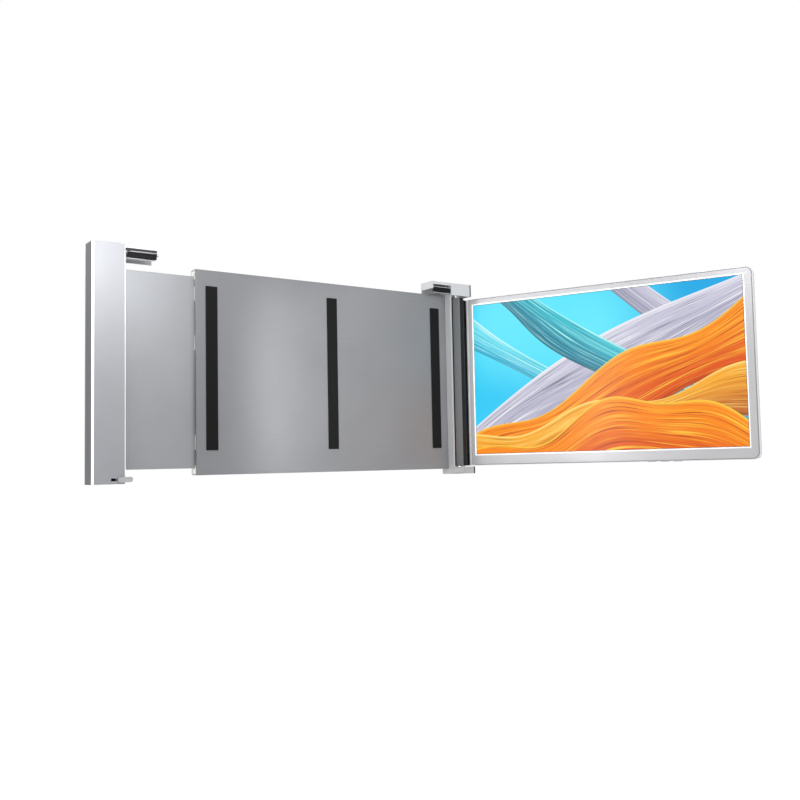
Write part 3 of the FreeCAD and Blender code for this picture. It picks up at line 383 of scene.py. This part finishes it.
def bezel_painted_light(place, normal):
    """Painted highlight round the picture and at the hinge, a painted shade line inside the rim and sides
    painted lighter as painted light.
    """
    facing = along(normal, FORWARD)
    sideways = along(normal, OUTWARD)
    x = along(place, OUTWARD) - OUTWARD.dot(SCREEN.translation)
    z = place[2]
    low, high = PICTURE
    middle = (low + high) / 2
    beside = from_middle(x, middle.x, (high.x - low.x) / 2)
    above = from_middle(z, middle.z, (high.z - low.z) / 2)
    from_picture = beside.math("MAXIMUM", above)
    rim_low, rim_high = RIM
    centre = (rim_low + rim_high) / 2
    half = (rim_high - rim_low) / 2
    reach = from_middle(x, centre.x, half.x - RIM_CORNER).math("MAXIMUM", 0.0)
    height = from_middle(z, centre.z, half.z - RIM_CORNER).math("MAXIMUM", 0.0)
    inside_rim = (reach * reach + height * height).math("SQRT") * -1.0 + RIM_CORNER
    # Painted shade line just inside the rounded rim, away from the hinge
    line = inside_rim.ramp(*LINE_INNER) * inside_rim.ramp(*LINE_OUTER) * x.ramp(*LINE_REACH)
    # Painted highlight on the rounded edge by the hinge, which lies in the barrel's shade
    hinge_highlight = sideways.ramp(*ROUND_TURN) * x.ramp(*ROUND_REACH) * facing.ramp(*ROUND_FRONT)
    return (
        (facing.ramp(*SIDE_TURN), BEZEL_SIDE_LIGHT),
        (line * facing.ramp(*LINE_TURN), BEZEL_RIM_SHADE),
        (hinge_highlight, PAINTED_HIGHLIGHT),
        # Painted highlight band round the picture, on the flat face
        (from_picture.ramp(*PICTURE_HIGHLIGHT_BAND), PAINTED_HIGHLIGHT),
    )


def bracket_painted_shade(place, normal):
    """Painted shade inside a clip: what faces down or forward behind its front edge is painted black."""
    behind = place[1].ramp(*CLIP_FRONT) * place[1].ramp(*CLIP_BACK)
    # Painted shade on the faces under the clip's top and on the inner faces that look forward
    under = normal[2].ramp(*INSIDE_TURN) * place[2].ramp(*CLIP_UNDERSIDE)
    forward = normal[1].ramp(*INSIDE_TURN) * behind
    return (under, BLACK), (forward, BLACK)


def flap_black_and_highlight(place, normal):
    """The flap is black, apart from its lower rim and its rolled upper edge, which is bare steel painted a
    lighter silver as a painted highlight.
    """
    return (place[2].ramp(*FLAP_BLACK), BLACK), (place[2].ramp(*FLAP_ROLL_HIGHLIGHT), BRIGHT_SILVER)


def ribbon(tree, run, across, low, high, colours, seed):
    """A silky band with long streaks and a shaded fold. Returns its cover and its colour.

    run is the place along the band and across the place across it, where low and high are its edges.
    """
    share = (across - low) / (high - low)
    streak_place = tree.nodes.new("ShaderNodeCombineXYZ")
    tree.links.new((share * STREAK_RATE + seed).socket, streak_place.inputs[0])
    tree.links.new((run * STREAK_RUN).socket, streak_place.inputs[1])
    broad = noise(tree, streak_place.outputs[0], *BROAD_STREAKS)
    fine = noise(tree, streak_place.outputs[0], *FINE_STREAKS)
    dark, middle, light = colours
    body = blend_colours(tree, (share + broad * WANDER - WANDER / 2).ramp(*BODY_EDGES), dark, middle)
    gleam = fine * GLEAM_FINE + broad * (1 - GLEAM_FINE)
    lit = blend_colours(tree, gleam.ramp(*GLEAM_EDGES), body, light)
    hollow = fine * HOLLOW_FINE + broad * (1 - HOLLOW_FINE)
    shaded = blend_colours(tree, hollow.ramp(*HOLLOW_EDGES), lit, tint(dark, HOLLOW_TINT))
    folded = blend_colours(tree, share.ramp(*FOLD_EDGES) * FOLD_DEPTH, shaded, tint(dark, FOLD_TINT))
    edged = blend_colours(tree, share.ramp(*LIGHT_EDGES), folded, light)
    cover = share.ramp(0.0, SOFT_EDGE) * share.ramp(1.0, 1.0 - SOFT_EDGE)
    return cover, edged


def ribbon_layers(u, v):
    """The ribbons from back to front: silk, seed, run, across, lower edge and upper edge.

    An edge is a level with waves on it, each wave(rate, phase) times its height.
    """
    slope = v - u * 0.9
    fall = v + u * 1.15
    rise = v - u * 0.35
    return (
        (
            "silver", 3.0, u, fall,
            v * 0.10 + u.wave(4.1, 0.5) * 0.07 + 1.50,
            v.wave(5.0, 1.0) * 0.05 + 1.80,
        ),
        (
            "foam", 11.0, v, fall,
            v.wave(3.4, 0.4) * 0.10 + 0.66,
            v.wave(4.0, 2.0) * 0.08 + 0.96,
        ),
        (
            "silver", 7.0, u, slope,
            u.wave(5.2, 1.4) * 0.08 - 0.20,
            u.wave(3.4, 0.2) * 0.12 + 0.16,
        ),
        (
            "olive", 17.0, u, slope,
            u.wave(4.4, 2.6) * 0.05 - 0.40,
            u.wave(6.4, 0.9) * 0.05 - 0.16,
        ),
        (
            "teal", 29.0, v, fall,
            v.wave(7.0, 0.3) * 0.06 + 1.08,
            v.wave(3.0, 2.2) * 0.09 + 1.38,
        ),
        (
            "orange", 23.0, u, v,
            u.wave(9.0, 0.2) * 0.06 + u * 0.58 - 0.16,
            u.wave(11.0, 1.5) * 0.06 + u * 0.80 + 0.08,
        ),
        (
            "amber", 41.0, u, rise,
            u.wave(6.0, 3.6) * 0.10 - 0.16,
            u.wave(12.0, 2.4) * 0.05 + 0.10,
        ),
        (
            "orange", 5.0, u, v,
            u.wave(7.5, 3.1) * 0.09 - 0.20,
            u.wave(15.0, 0.4) * 0.045 + u.wave(5.2, 4.4) * 0.16 + 0.17,
        ),
    )


def picture_material():
    """Broad silky ribbons on a cyan ground, lit from behind."""
    material, tree, shader, coordinates = new_material("display_picture", 0.0, 0.30, 0.15)
    u, v = in_screen(tree, coordinates)
    slant = u * GROUND_SLANT + v * (1 - GROUND_SLANT)
    ground = blend_colours(tree, slant.ramp(0.0, 1.0), GROUND_LEFT, GROUND_RIGHT)
    halo_u = u - HALO_PLACE[0]
    halo_v = v - HALO_PLACE[1]
    halo = halo_u * halo_u + halo_v * halo_v
    colour = blend_colours(tree, halo.ramp(*HALO_EDGES), ground, HALO)
    for silk, seed, run, across, low, high in ribbon_layers(u, v):
        cover, band = ribbon(tree, run, across, low, high, SILKS[silk], seed)
        colour = blend_colours(tree, cover, colour, band)
    inside_across = u.ramp(0.0, BORDER_ACROSS) * u.ramp(1.0, 1.0 - BORDER_ACROSS)
    inside_up = v.ramp(0.0, BORDER_UP) * v.ramp(1.0, 1.0 - BORDER_UP)
    shown = blend_colours(tree, inside_across * inside_up, BORDER, colour)
    shader.inputs["Base Color"].default_value = DARK_GLASS
    tree.links.new(shown, shader.inputs["Emission Color"])
    shader.inputs["Emission Strength"].default_value = PICTURE_GLOW
    return material


# Each is a name, a colour, metallic, roughness, grain per metre, its depth in millimetres and its stretch
MATERIALS = {
    "wing": textured(
        "wing_anodised", WING_SILVER, 0.10, 0.48, BLAST, 0.012,
        # Faces painted by their direction: the chamfers near-white as painted highlight, the left side
        # near-black as painted shade
        faces=(
            ((-1, -1, 0), PAINTED_HIGHLIGHT, 0.16),
            ((-1, 0, 0), SIDE_SHADE_GREY, 0.42),
            ((1, -1, 0), PAINTED_HIGHLIGHT, 0.2),
        ),
    ),
    "silver": textured("anodised", SILVER, 0.20, 0.44, BLAST, 0.012),
    "arm": textured("arm_anodised", ARM_SILVER, 0.25, 0.32, BLAST, 0.010),
    "bracket": textured(
        "bracket_anodised", BRIGHT_SILVER, 0.25, 0.30, BLAST, 0.010, zones=bracket_painted_shade,
    ),
    "block": textured("block_anodised", BRIGHT_SILVER, 0.25, 0.30, BLAST, 0.010),
    "bezel": textured("bezel_anodised", BEZEL_FACE, 0.15, 0.36, BLAST, 0.010, zones=bezel_painted_light),
    "chassis": textured("chassis_brushed", CHASSIS_GREY, 0.55, 0.38, 900.0, 0.010, (0.04, 1, 1.6)),
    "slide": textured("slide_brushed", tint(SILVER, 0.72), 0.45, 0.46, 1200.0, 0.003, (1.4, 1, 0.04)),
    "flap": textured(
        "flap_steel", SILVER, 0.3, 0.34, 2600.0, 0.006, (0.05, 1, 1), specular=0.2, zones=flap_black_and_highlight,
    ),
    "barrel": textured(
        "barrel_cover", COLUMN_BLACK, 0.0, 0.50, 3800.0, 0.012, (1, 1, 0.15),
        # The flat painted grey as a painted highlight on the near-black barrel
        faces=((FLAT, COLUMN_LIT_GREY, 0.46),), specular=0.08,
    ),
    "cap": textured("cap_plastic", CAP_BLACK, 0.0, 0.46, 4200.0, 0.02, specular=0.2),
    "rubber": textured("pad_rubber", BLACK, 0.0, 0.66, 2600.0, 0.05, specular=0.10),
    "nylon": textured("nylon", (0.72, 0.71, 0.67), 0.0, 0.45, 1800.0, 0.02),
    "steel": textured("turned_steel", (0.56, 0.56, 0.58), 1.0, 0.26, 3000.0, 0.006, (1, 1, 0.1)),
    "screw": textured("screw_zinc", (0.45, 0.45, 0.47), 1.0, 0.30, 4200.0, 0.006),
    "panel": textured("panel_edge", (0.05, 0.06, 0.07), 0.0, 0.3, 900.0, 0.004),
    "reflector": textured("reflector_sheet", (0.86, 0.86, 0.86), 0.0, 0.5, 1200.0, 0.006),
    "circuit": textured("solder_mask", (0.01, 0.10, 0.05), 0.0, 0.28, 900.0, 0.02),
    "chip": textured("chip_resin", (0.02, 0.02, 0.02), 0.0, 0.5, 3600.0, 0.02),
    "film": textured("polyimide_film", (0.50, 0.24, 0.04), 0.0, 0.3, 700.0, 0.01),
    "picture": picture_material(),
}


def finish_piece(piece, node, material):
    """Dresses a piece that stands for a CAD node and fixes it to the node's body."""
    piece.data.materials.clear()
    piece.data.materials.append(MATERIALS[material])
    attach(piece, BODY_OF[node])
    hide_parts(node)


def new_piece(name, data):
    piece = bpy.data.objects.new(name, data)
    bpy.context.scene.collection.objects.link(piece)
    return piece


def smooth(mesh, angle):
    mesh.shade_smooth()
    mesh.set_sharp_from_angle(angle=math.radians(angle))


def dressed(node, material, width):
    """The node's solid with its flat faces joined and every sharp edge broken by a width in millimetres."""
    mesh = frame["nodes"][node].data.copy()
    shape = bmesh.new()
    shape.from_mesh(mesh)
    bmesh.ops.remove_doubles(shape, verts=shape.verts, dist=MERGE)
    limit = math.radians(FLAT_LIMIT)
    bmesh.ops.dissolve_limit(shape, angle_limit=limit, verts=shape.verts, edges=shape.edges)
    shape.to_mesh(mesh)
    shape.free()
    piece = new_piece(f"{node}_dressed", mesh)
    smooth(mesh, SHARP_ANGLE)
    bevel = piece.modifiers.new("broken_edges", "BEVEL")
    bevel.width = width * MM
    bevel.segments = EDGE_SEGMENTS
    bevel.limit_method = "ANGLE"
    bevel.angle_limit = math.radians(SHARP_ANGLE)
    bevel.harden_normals = True
    finish_piece(piece, node, material)


def islands(mesh):
    """The separate solids of a node, as lists of points."""
    shape = bmesh.new()
    shape.from_mesh(mesh)
    bmesh.ops.remove_doubles(shape, verts=shape.verts, dist=MERGE)
    left = set(shape.verts)
    groups = []
    while left:
        queue = [left.pop()]
        found = []
        while queue:
            vertex = queue.pop()
            found.append(vertex.co.copy())
            for edge in vertex.link_edges:
                other = edge.other_vert(vertex)
                if other in left:
                    left.remove(other)
                    queue.append(other)
        groups.append(found)
    shape.free()
    return groups


def screw(shape, place, length):
    """A pan screw with a six-lobed socket. place puts its face at the origin, looking along +Z."""
    def ring(reach, level):
        points = []
        for step in range(SCREW_SIDES):
            turn = 2 * math.pi * step / SCREW_SIDES
            size = reach(turn) if callable(reach) else reach
            point = Vector((size * math.cos(turn), size * math.sin(turn), level))
            points.append(shape.verts.new(place @ point))
        return points

    def socket(turn):
        return HEAD_RADIUS * (SOCKET_RADIUS + LOBE_HEIGHT * math.cos(LOBES * turn))

    def socket_edge(turn):
        return socket(turn) + SOCKET_BREAK * HEAD_RADIUS

    edge = HEAD_BREAK * HEAD_RADIUS
    under = -HEAD_HEIGHT * HEAD_RADIUS
    rings = [
        ring(socket, -SOCKET_DEPTH * HEAD_RADIUS),
        ring(socket, -SOCKET_LIP * HEAD_RADIUS),
        ring(socket_edge, 0.0),
        ring(HEAD_RADIUS - edge, 0.0),
        ring(HEAD_RADIUS, -edge),
        ring(HEAD_RADIUS, under),
        ring(SHANK_RADIUS, under),
        ring(SHANK_RADIUS, -length),
    ]
    for first, second in zip(rings, rings[1:]):
        for step in range(SCREW_SIDES):
            after = (step + 1) % SCREW_SIDES
            shape.faces.new((first[step], second[step], second[after], first[after]))
    shape.faces.new(rings[0])
    shape.faces.new(reversed(rings[-1]))


def screws(node, outward):
    """One screw for each solid of the node, its face where the solid's outer end is."""
    shape = bmesh.new()
    outward = Vector(outward)
    for points in islands(frame["nodes"][node].data):
        ends = [point.dot(outward) for point in points]
        middle = sum(points, Vector()) / len(points)
        face = middle + outward * (max(ends) - middle.dot(outward))
        place = Matrix.Translation(face) @ outward.to_track_quat("Z", "Y").to_matrix().to_4x4()
        screw(shape, place, max(ends) - min(ends))
    bmesh.ops.recalc_face_normals(shape, faces=shape.faces)
    mesh = bpy.data.meshes.new(f"{node}_turned")
    shape.to_mesh(mesh)
    shape.free()
    smooth(mesh, SCREW_SHARP)
    finish_piece(new_piece(f"{node}_turned", mesh), node, "screw")


def coil(node, way):
    """A torsion spring wound on its pin, with a leg down the flap and a leg to the bracket."""
    low, high = (Vector(corner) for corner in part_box(node))
    middle = (low + high) / 2
    radius = (high.z - low.z) / 2 - COIL_WIRE
    length = high.x - low.x - 2 * COIL_WIRE
    points = []
    for step in range(COIL_TURNS * COIL_STEPS + 1):
        share = step / (COIL_TURNS * COIL_STEPS)
        angle = 2 * math.pi * COIL_TURNS * share
        x = middle.x + way * length * (share - 0.5)
        points.append(Vector((x, middle.y - radius * math.cos(angle), middle.z - radius * math.sin(angle))))
    bracket_end = points[0] + Vector((0, 0, BRACKET_LEG))
    flap_end = points[-1] + Vector((0, 0, -FLAP_LEG))
    points = [bracket_end, *points, flap_end]
    curve = bpy.data.curves.new(f"{node}_wound", "CURVE")
    curve.dimensions = "3D"
    curve.bevel_depth = COIL_WIRE
    curve.bevel_resolution = COIL_ROUNDNESS
    curve.use_fill_caps = True
    line = curve.splines.new("POLY")
    line.points.add(len(points) - 1)
    for point, place in zip(line.points, points):
        point.co = (*place, 1.0)
    finish_piece(new_piece(f"{node}_wound", curve), node, "steel")


# Each node's finish and the width of its broken edges in millimetres
FINE = 0.12
DRESSING = {
    "wing_shell": ("wing", 0.25), "wing_back_cover": ("silver", 0.35),
    "clip_bracket_left": ("bracket", 0.3), "clip_bracket_right": ("bracket", 0.3),
    "clip_flap_left": ("flap", FINE), "clip_flap_right": ("flap", FINE),
    "clip_rubber_left": ("rubber", 0.3), "clip_rubber_right": ("rubber", 0.3),
    "upright": ("arm", 0.2), "top_hinge_block": ("block", 0.3), "bottom_hinge_block": ("arm", 0.4),
    "top_end_cap": ("cap", 0.3), "bottom_end_cap": ("cap", 0.3),
    "bottom_tab_left": ("arm", 0.3), "bottom_tab_right": ("arm", 0.3),
    "front_plate": ("chassis", 0.2), "rear_cover": ("silver", 0.2), "slide_plate": ("slide", 0.3),
    "lid_pads": ("rubber", 0.35), "slide_glides": ("nylon", 0.2),
    "lower_guide_rail": ("nylon", 0.2), "upper_guide_rail": ("nylon", 0.2),
    "bezel_frame": ("bezel", FINE), "screen_back_cover": ("silver", 0.3),
    "hinge_barrel": ("barrel", 0.25), "hinge_leaves": ("steel", FINE),
    "power_button": ("silver", 0.25), "plus_button": ("silver", 0.25), "minus_button": ("silver", 0.25),
    "usb_c_sockets": ("steel", 0.05), "hdmi_socket": ("steel", 0.05),
    "hinge_nut": ("screw", 0.3), "upper_hinge_shaft": ("steel", 0.3), "lower_hinge_shaft": ("steel", 0.3),
    "board_chips": ("chip", FINE), "speakers": ("cap", 0.3),
}
# The finish of each node that keeps its CAD mesh
PLAIN = {
    "cover_glass": "picture", "lcd_panel": "panel", "backlight_unit": "reflector", "led_bar": "reflector",
    "driver_board": "circuit", "port_board": "circuit", "button_board": "circuit", "button_switches": "chip",
    "panel_ribbon": "film", "board_link": "film", "travel_stop_pin": "steel", "slide_anchor": "slide",
    "slide_screws": "screw", "clip_pin_left": "steel", "clip_pin_right": "steel", "hinge_washers": "steel",
    "lower_friction_bush": "steel", "upper_friction_bush": "steel",
}
for node, (material, width) in DRESSING.items():
    dressed(node, material, width)
for node, material in PLAIN.items():
    data = frame["nodes"][node].data
    data.materials.clear()
    data.materials.append(MATERIALS[material])
screws("rear_cover_screws", (0, 1, 0))
screws("wing_cover_screws", (0, 1, 0))
screws("screen_cover_screws", BACKWARD)
coil("torsion_spring_left", 1)
coil("torsion_spring_right", -1)


def floor_material():
    """White paper that takes the shadow and is as white as the backdrop where it is seen."""
    material = textured("floor_paper", PAPER, 0.0, 0.9, 60.0, 0.05, spread=0.005, specular=0.1)
    tree = material.node_tree
    path = tree.nodes.new("ShaderNodeLightPath")
    seen = Signal(tree, path.outputs["Is Camera Ray"])
    for name in ("Is Glossy Ray", "Is Transmission Ray"):
        seen = seen.math("MAXIMUM", Signal(tree, path.outputs[name]))
    shader = tree.nodes["Principled BSDF"]
    shader.inputs["Emission Color"].default_value = WHITE
    tree.links.new((seen * FLOOR_GLOW).socket, shader.inputs["Emission Strength"])
    return material


def floor():
    mesh = bpy.data.meshes.new("floor")
    reach = FLOOR_REACH
    corners = ((-reach, -reach), (reach, -reach), (reach, reach), (-reach, reach))
    mesh.from_pydata([(x, y, FLOOR_LEVEL) for x, y in corners], [], [(0, 1, 2, 3)])
    piece = new_piece("studio_floor", mesh)
    mesh.materials.append(floor_material())


def lamp(name, place, aim, size, power):
    data = bpy.data.lights.new(name, "AREA")
    data.shape = "RECTANGLE"
    data.size, data.size_y = size
    data.energy = power
    item = new_piece(name, data)
    item.location = place
    item.rotation_euler = (Vector(aim) - Vector(place)).to_track_quat("-Z", "Y").to_euler()
    item.visible_camera = False


def world():
    item = bpy.data.worlds.new("studio")
    bpy.context.scene.world = item
    item.use_nodes = True
    background = item.node_tree.nodes["Background"]
    background.inputs["Color"].default_value = WHITE
    background.inputs["Strength"].default_value = 1.0


def camera():
    data = bpy.data.cameras.new("camera")
    data.sensor_width = CAMERA_SENSOR
    data.lens = CAMERA_LENS
    data.shift_x = CAMERA_SHIFT
    data.clip_start = CAMERA_NEAR
    item = new_piece("camera", data)
    heading = Matrix.Rotation(-math.radians(CAMERA_HEADING), 4, "Z")
    rise = Matrix.Rotation(math.radians(90 + CAMERA_RISE), 4, "X")
    roll = Matrix.Rotation(math.radians(CAMERA_ROLL), 4, "Z")
    item.matrix_world = Matrix.Translation(CAMERA_PLACE) @ heading @ rise @ roll
    bpy.context.scene.camera = item


# The hinge lamp looks at the strip beside the column that is painted white as a painted highlight, from in
# front and a little outward
HINGE_STRIP = SCREEN @ Vector((6.0 * MM, 14.0 * MM, -3.0 * MM))
HINGE_LAMP_REACH = 0.25
HINGE_LAMP_PLACE = HINGE_STRIP + (FORWARD * 0.95 + OUTWARD * 0.31) * HINGE_LAMP_REACH
# Each lamp's place, its aim, its width and height in metres, and its power in watts
LAMPS = {
    "top_softbox": ((-0.05, -0.50, 0.50), (0.1, -0.1, 0.0), (0.5, 0.4), 0.3),
    "wing_softbox": ((-0.236, -0.19, 0.13), (-0.236, 0.0, 0.13), (0.06, 0.06), 0.52),
    "side_softbox": ((-0.40, 0.0, 0.15), (-0.25, 0.0, 0.13), (0.05, 0.05), 0.40),
    "screen_softbox": ((0.19, -0.36, 0.17), (0.30, -0.30, 0.09), (0.08, 0.05), 0.24),
    "hinge_softbox": (HINGE_LAMP_PLACE, HINGE_STRIP, (0.05, 0.22), 0.32),
    "back_softbox": ((0.1, 0.9, 0.9), (0.0, 0.0, 0.0), (0.8, 0.5), 3.0),
}
floor()
world()
for name, setting in LAMPS.items():
    lamp(name, *setting)
camera()
bpy.context.scene.view_settings.view_transform = "Standard"
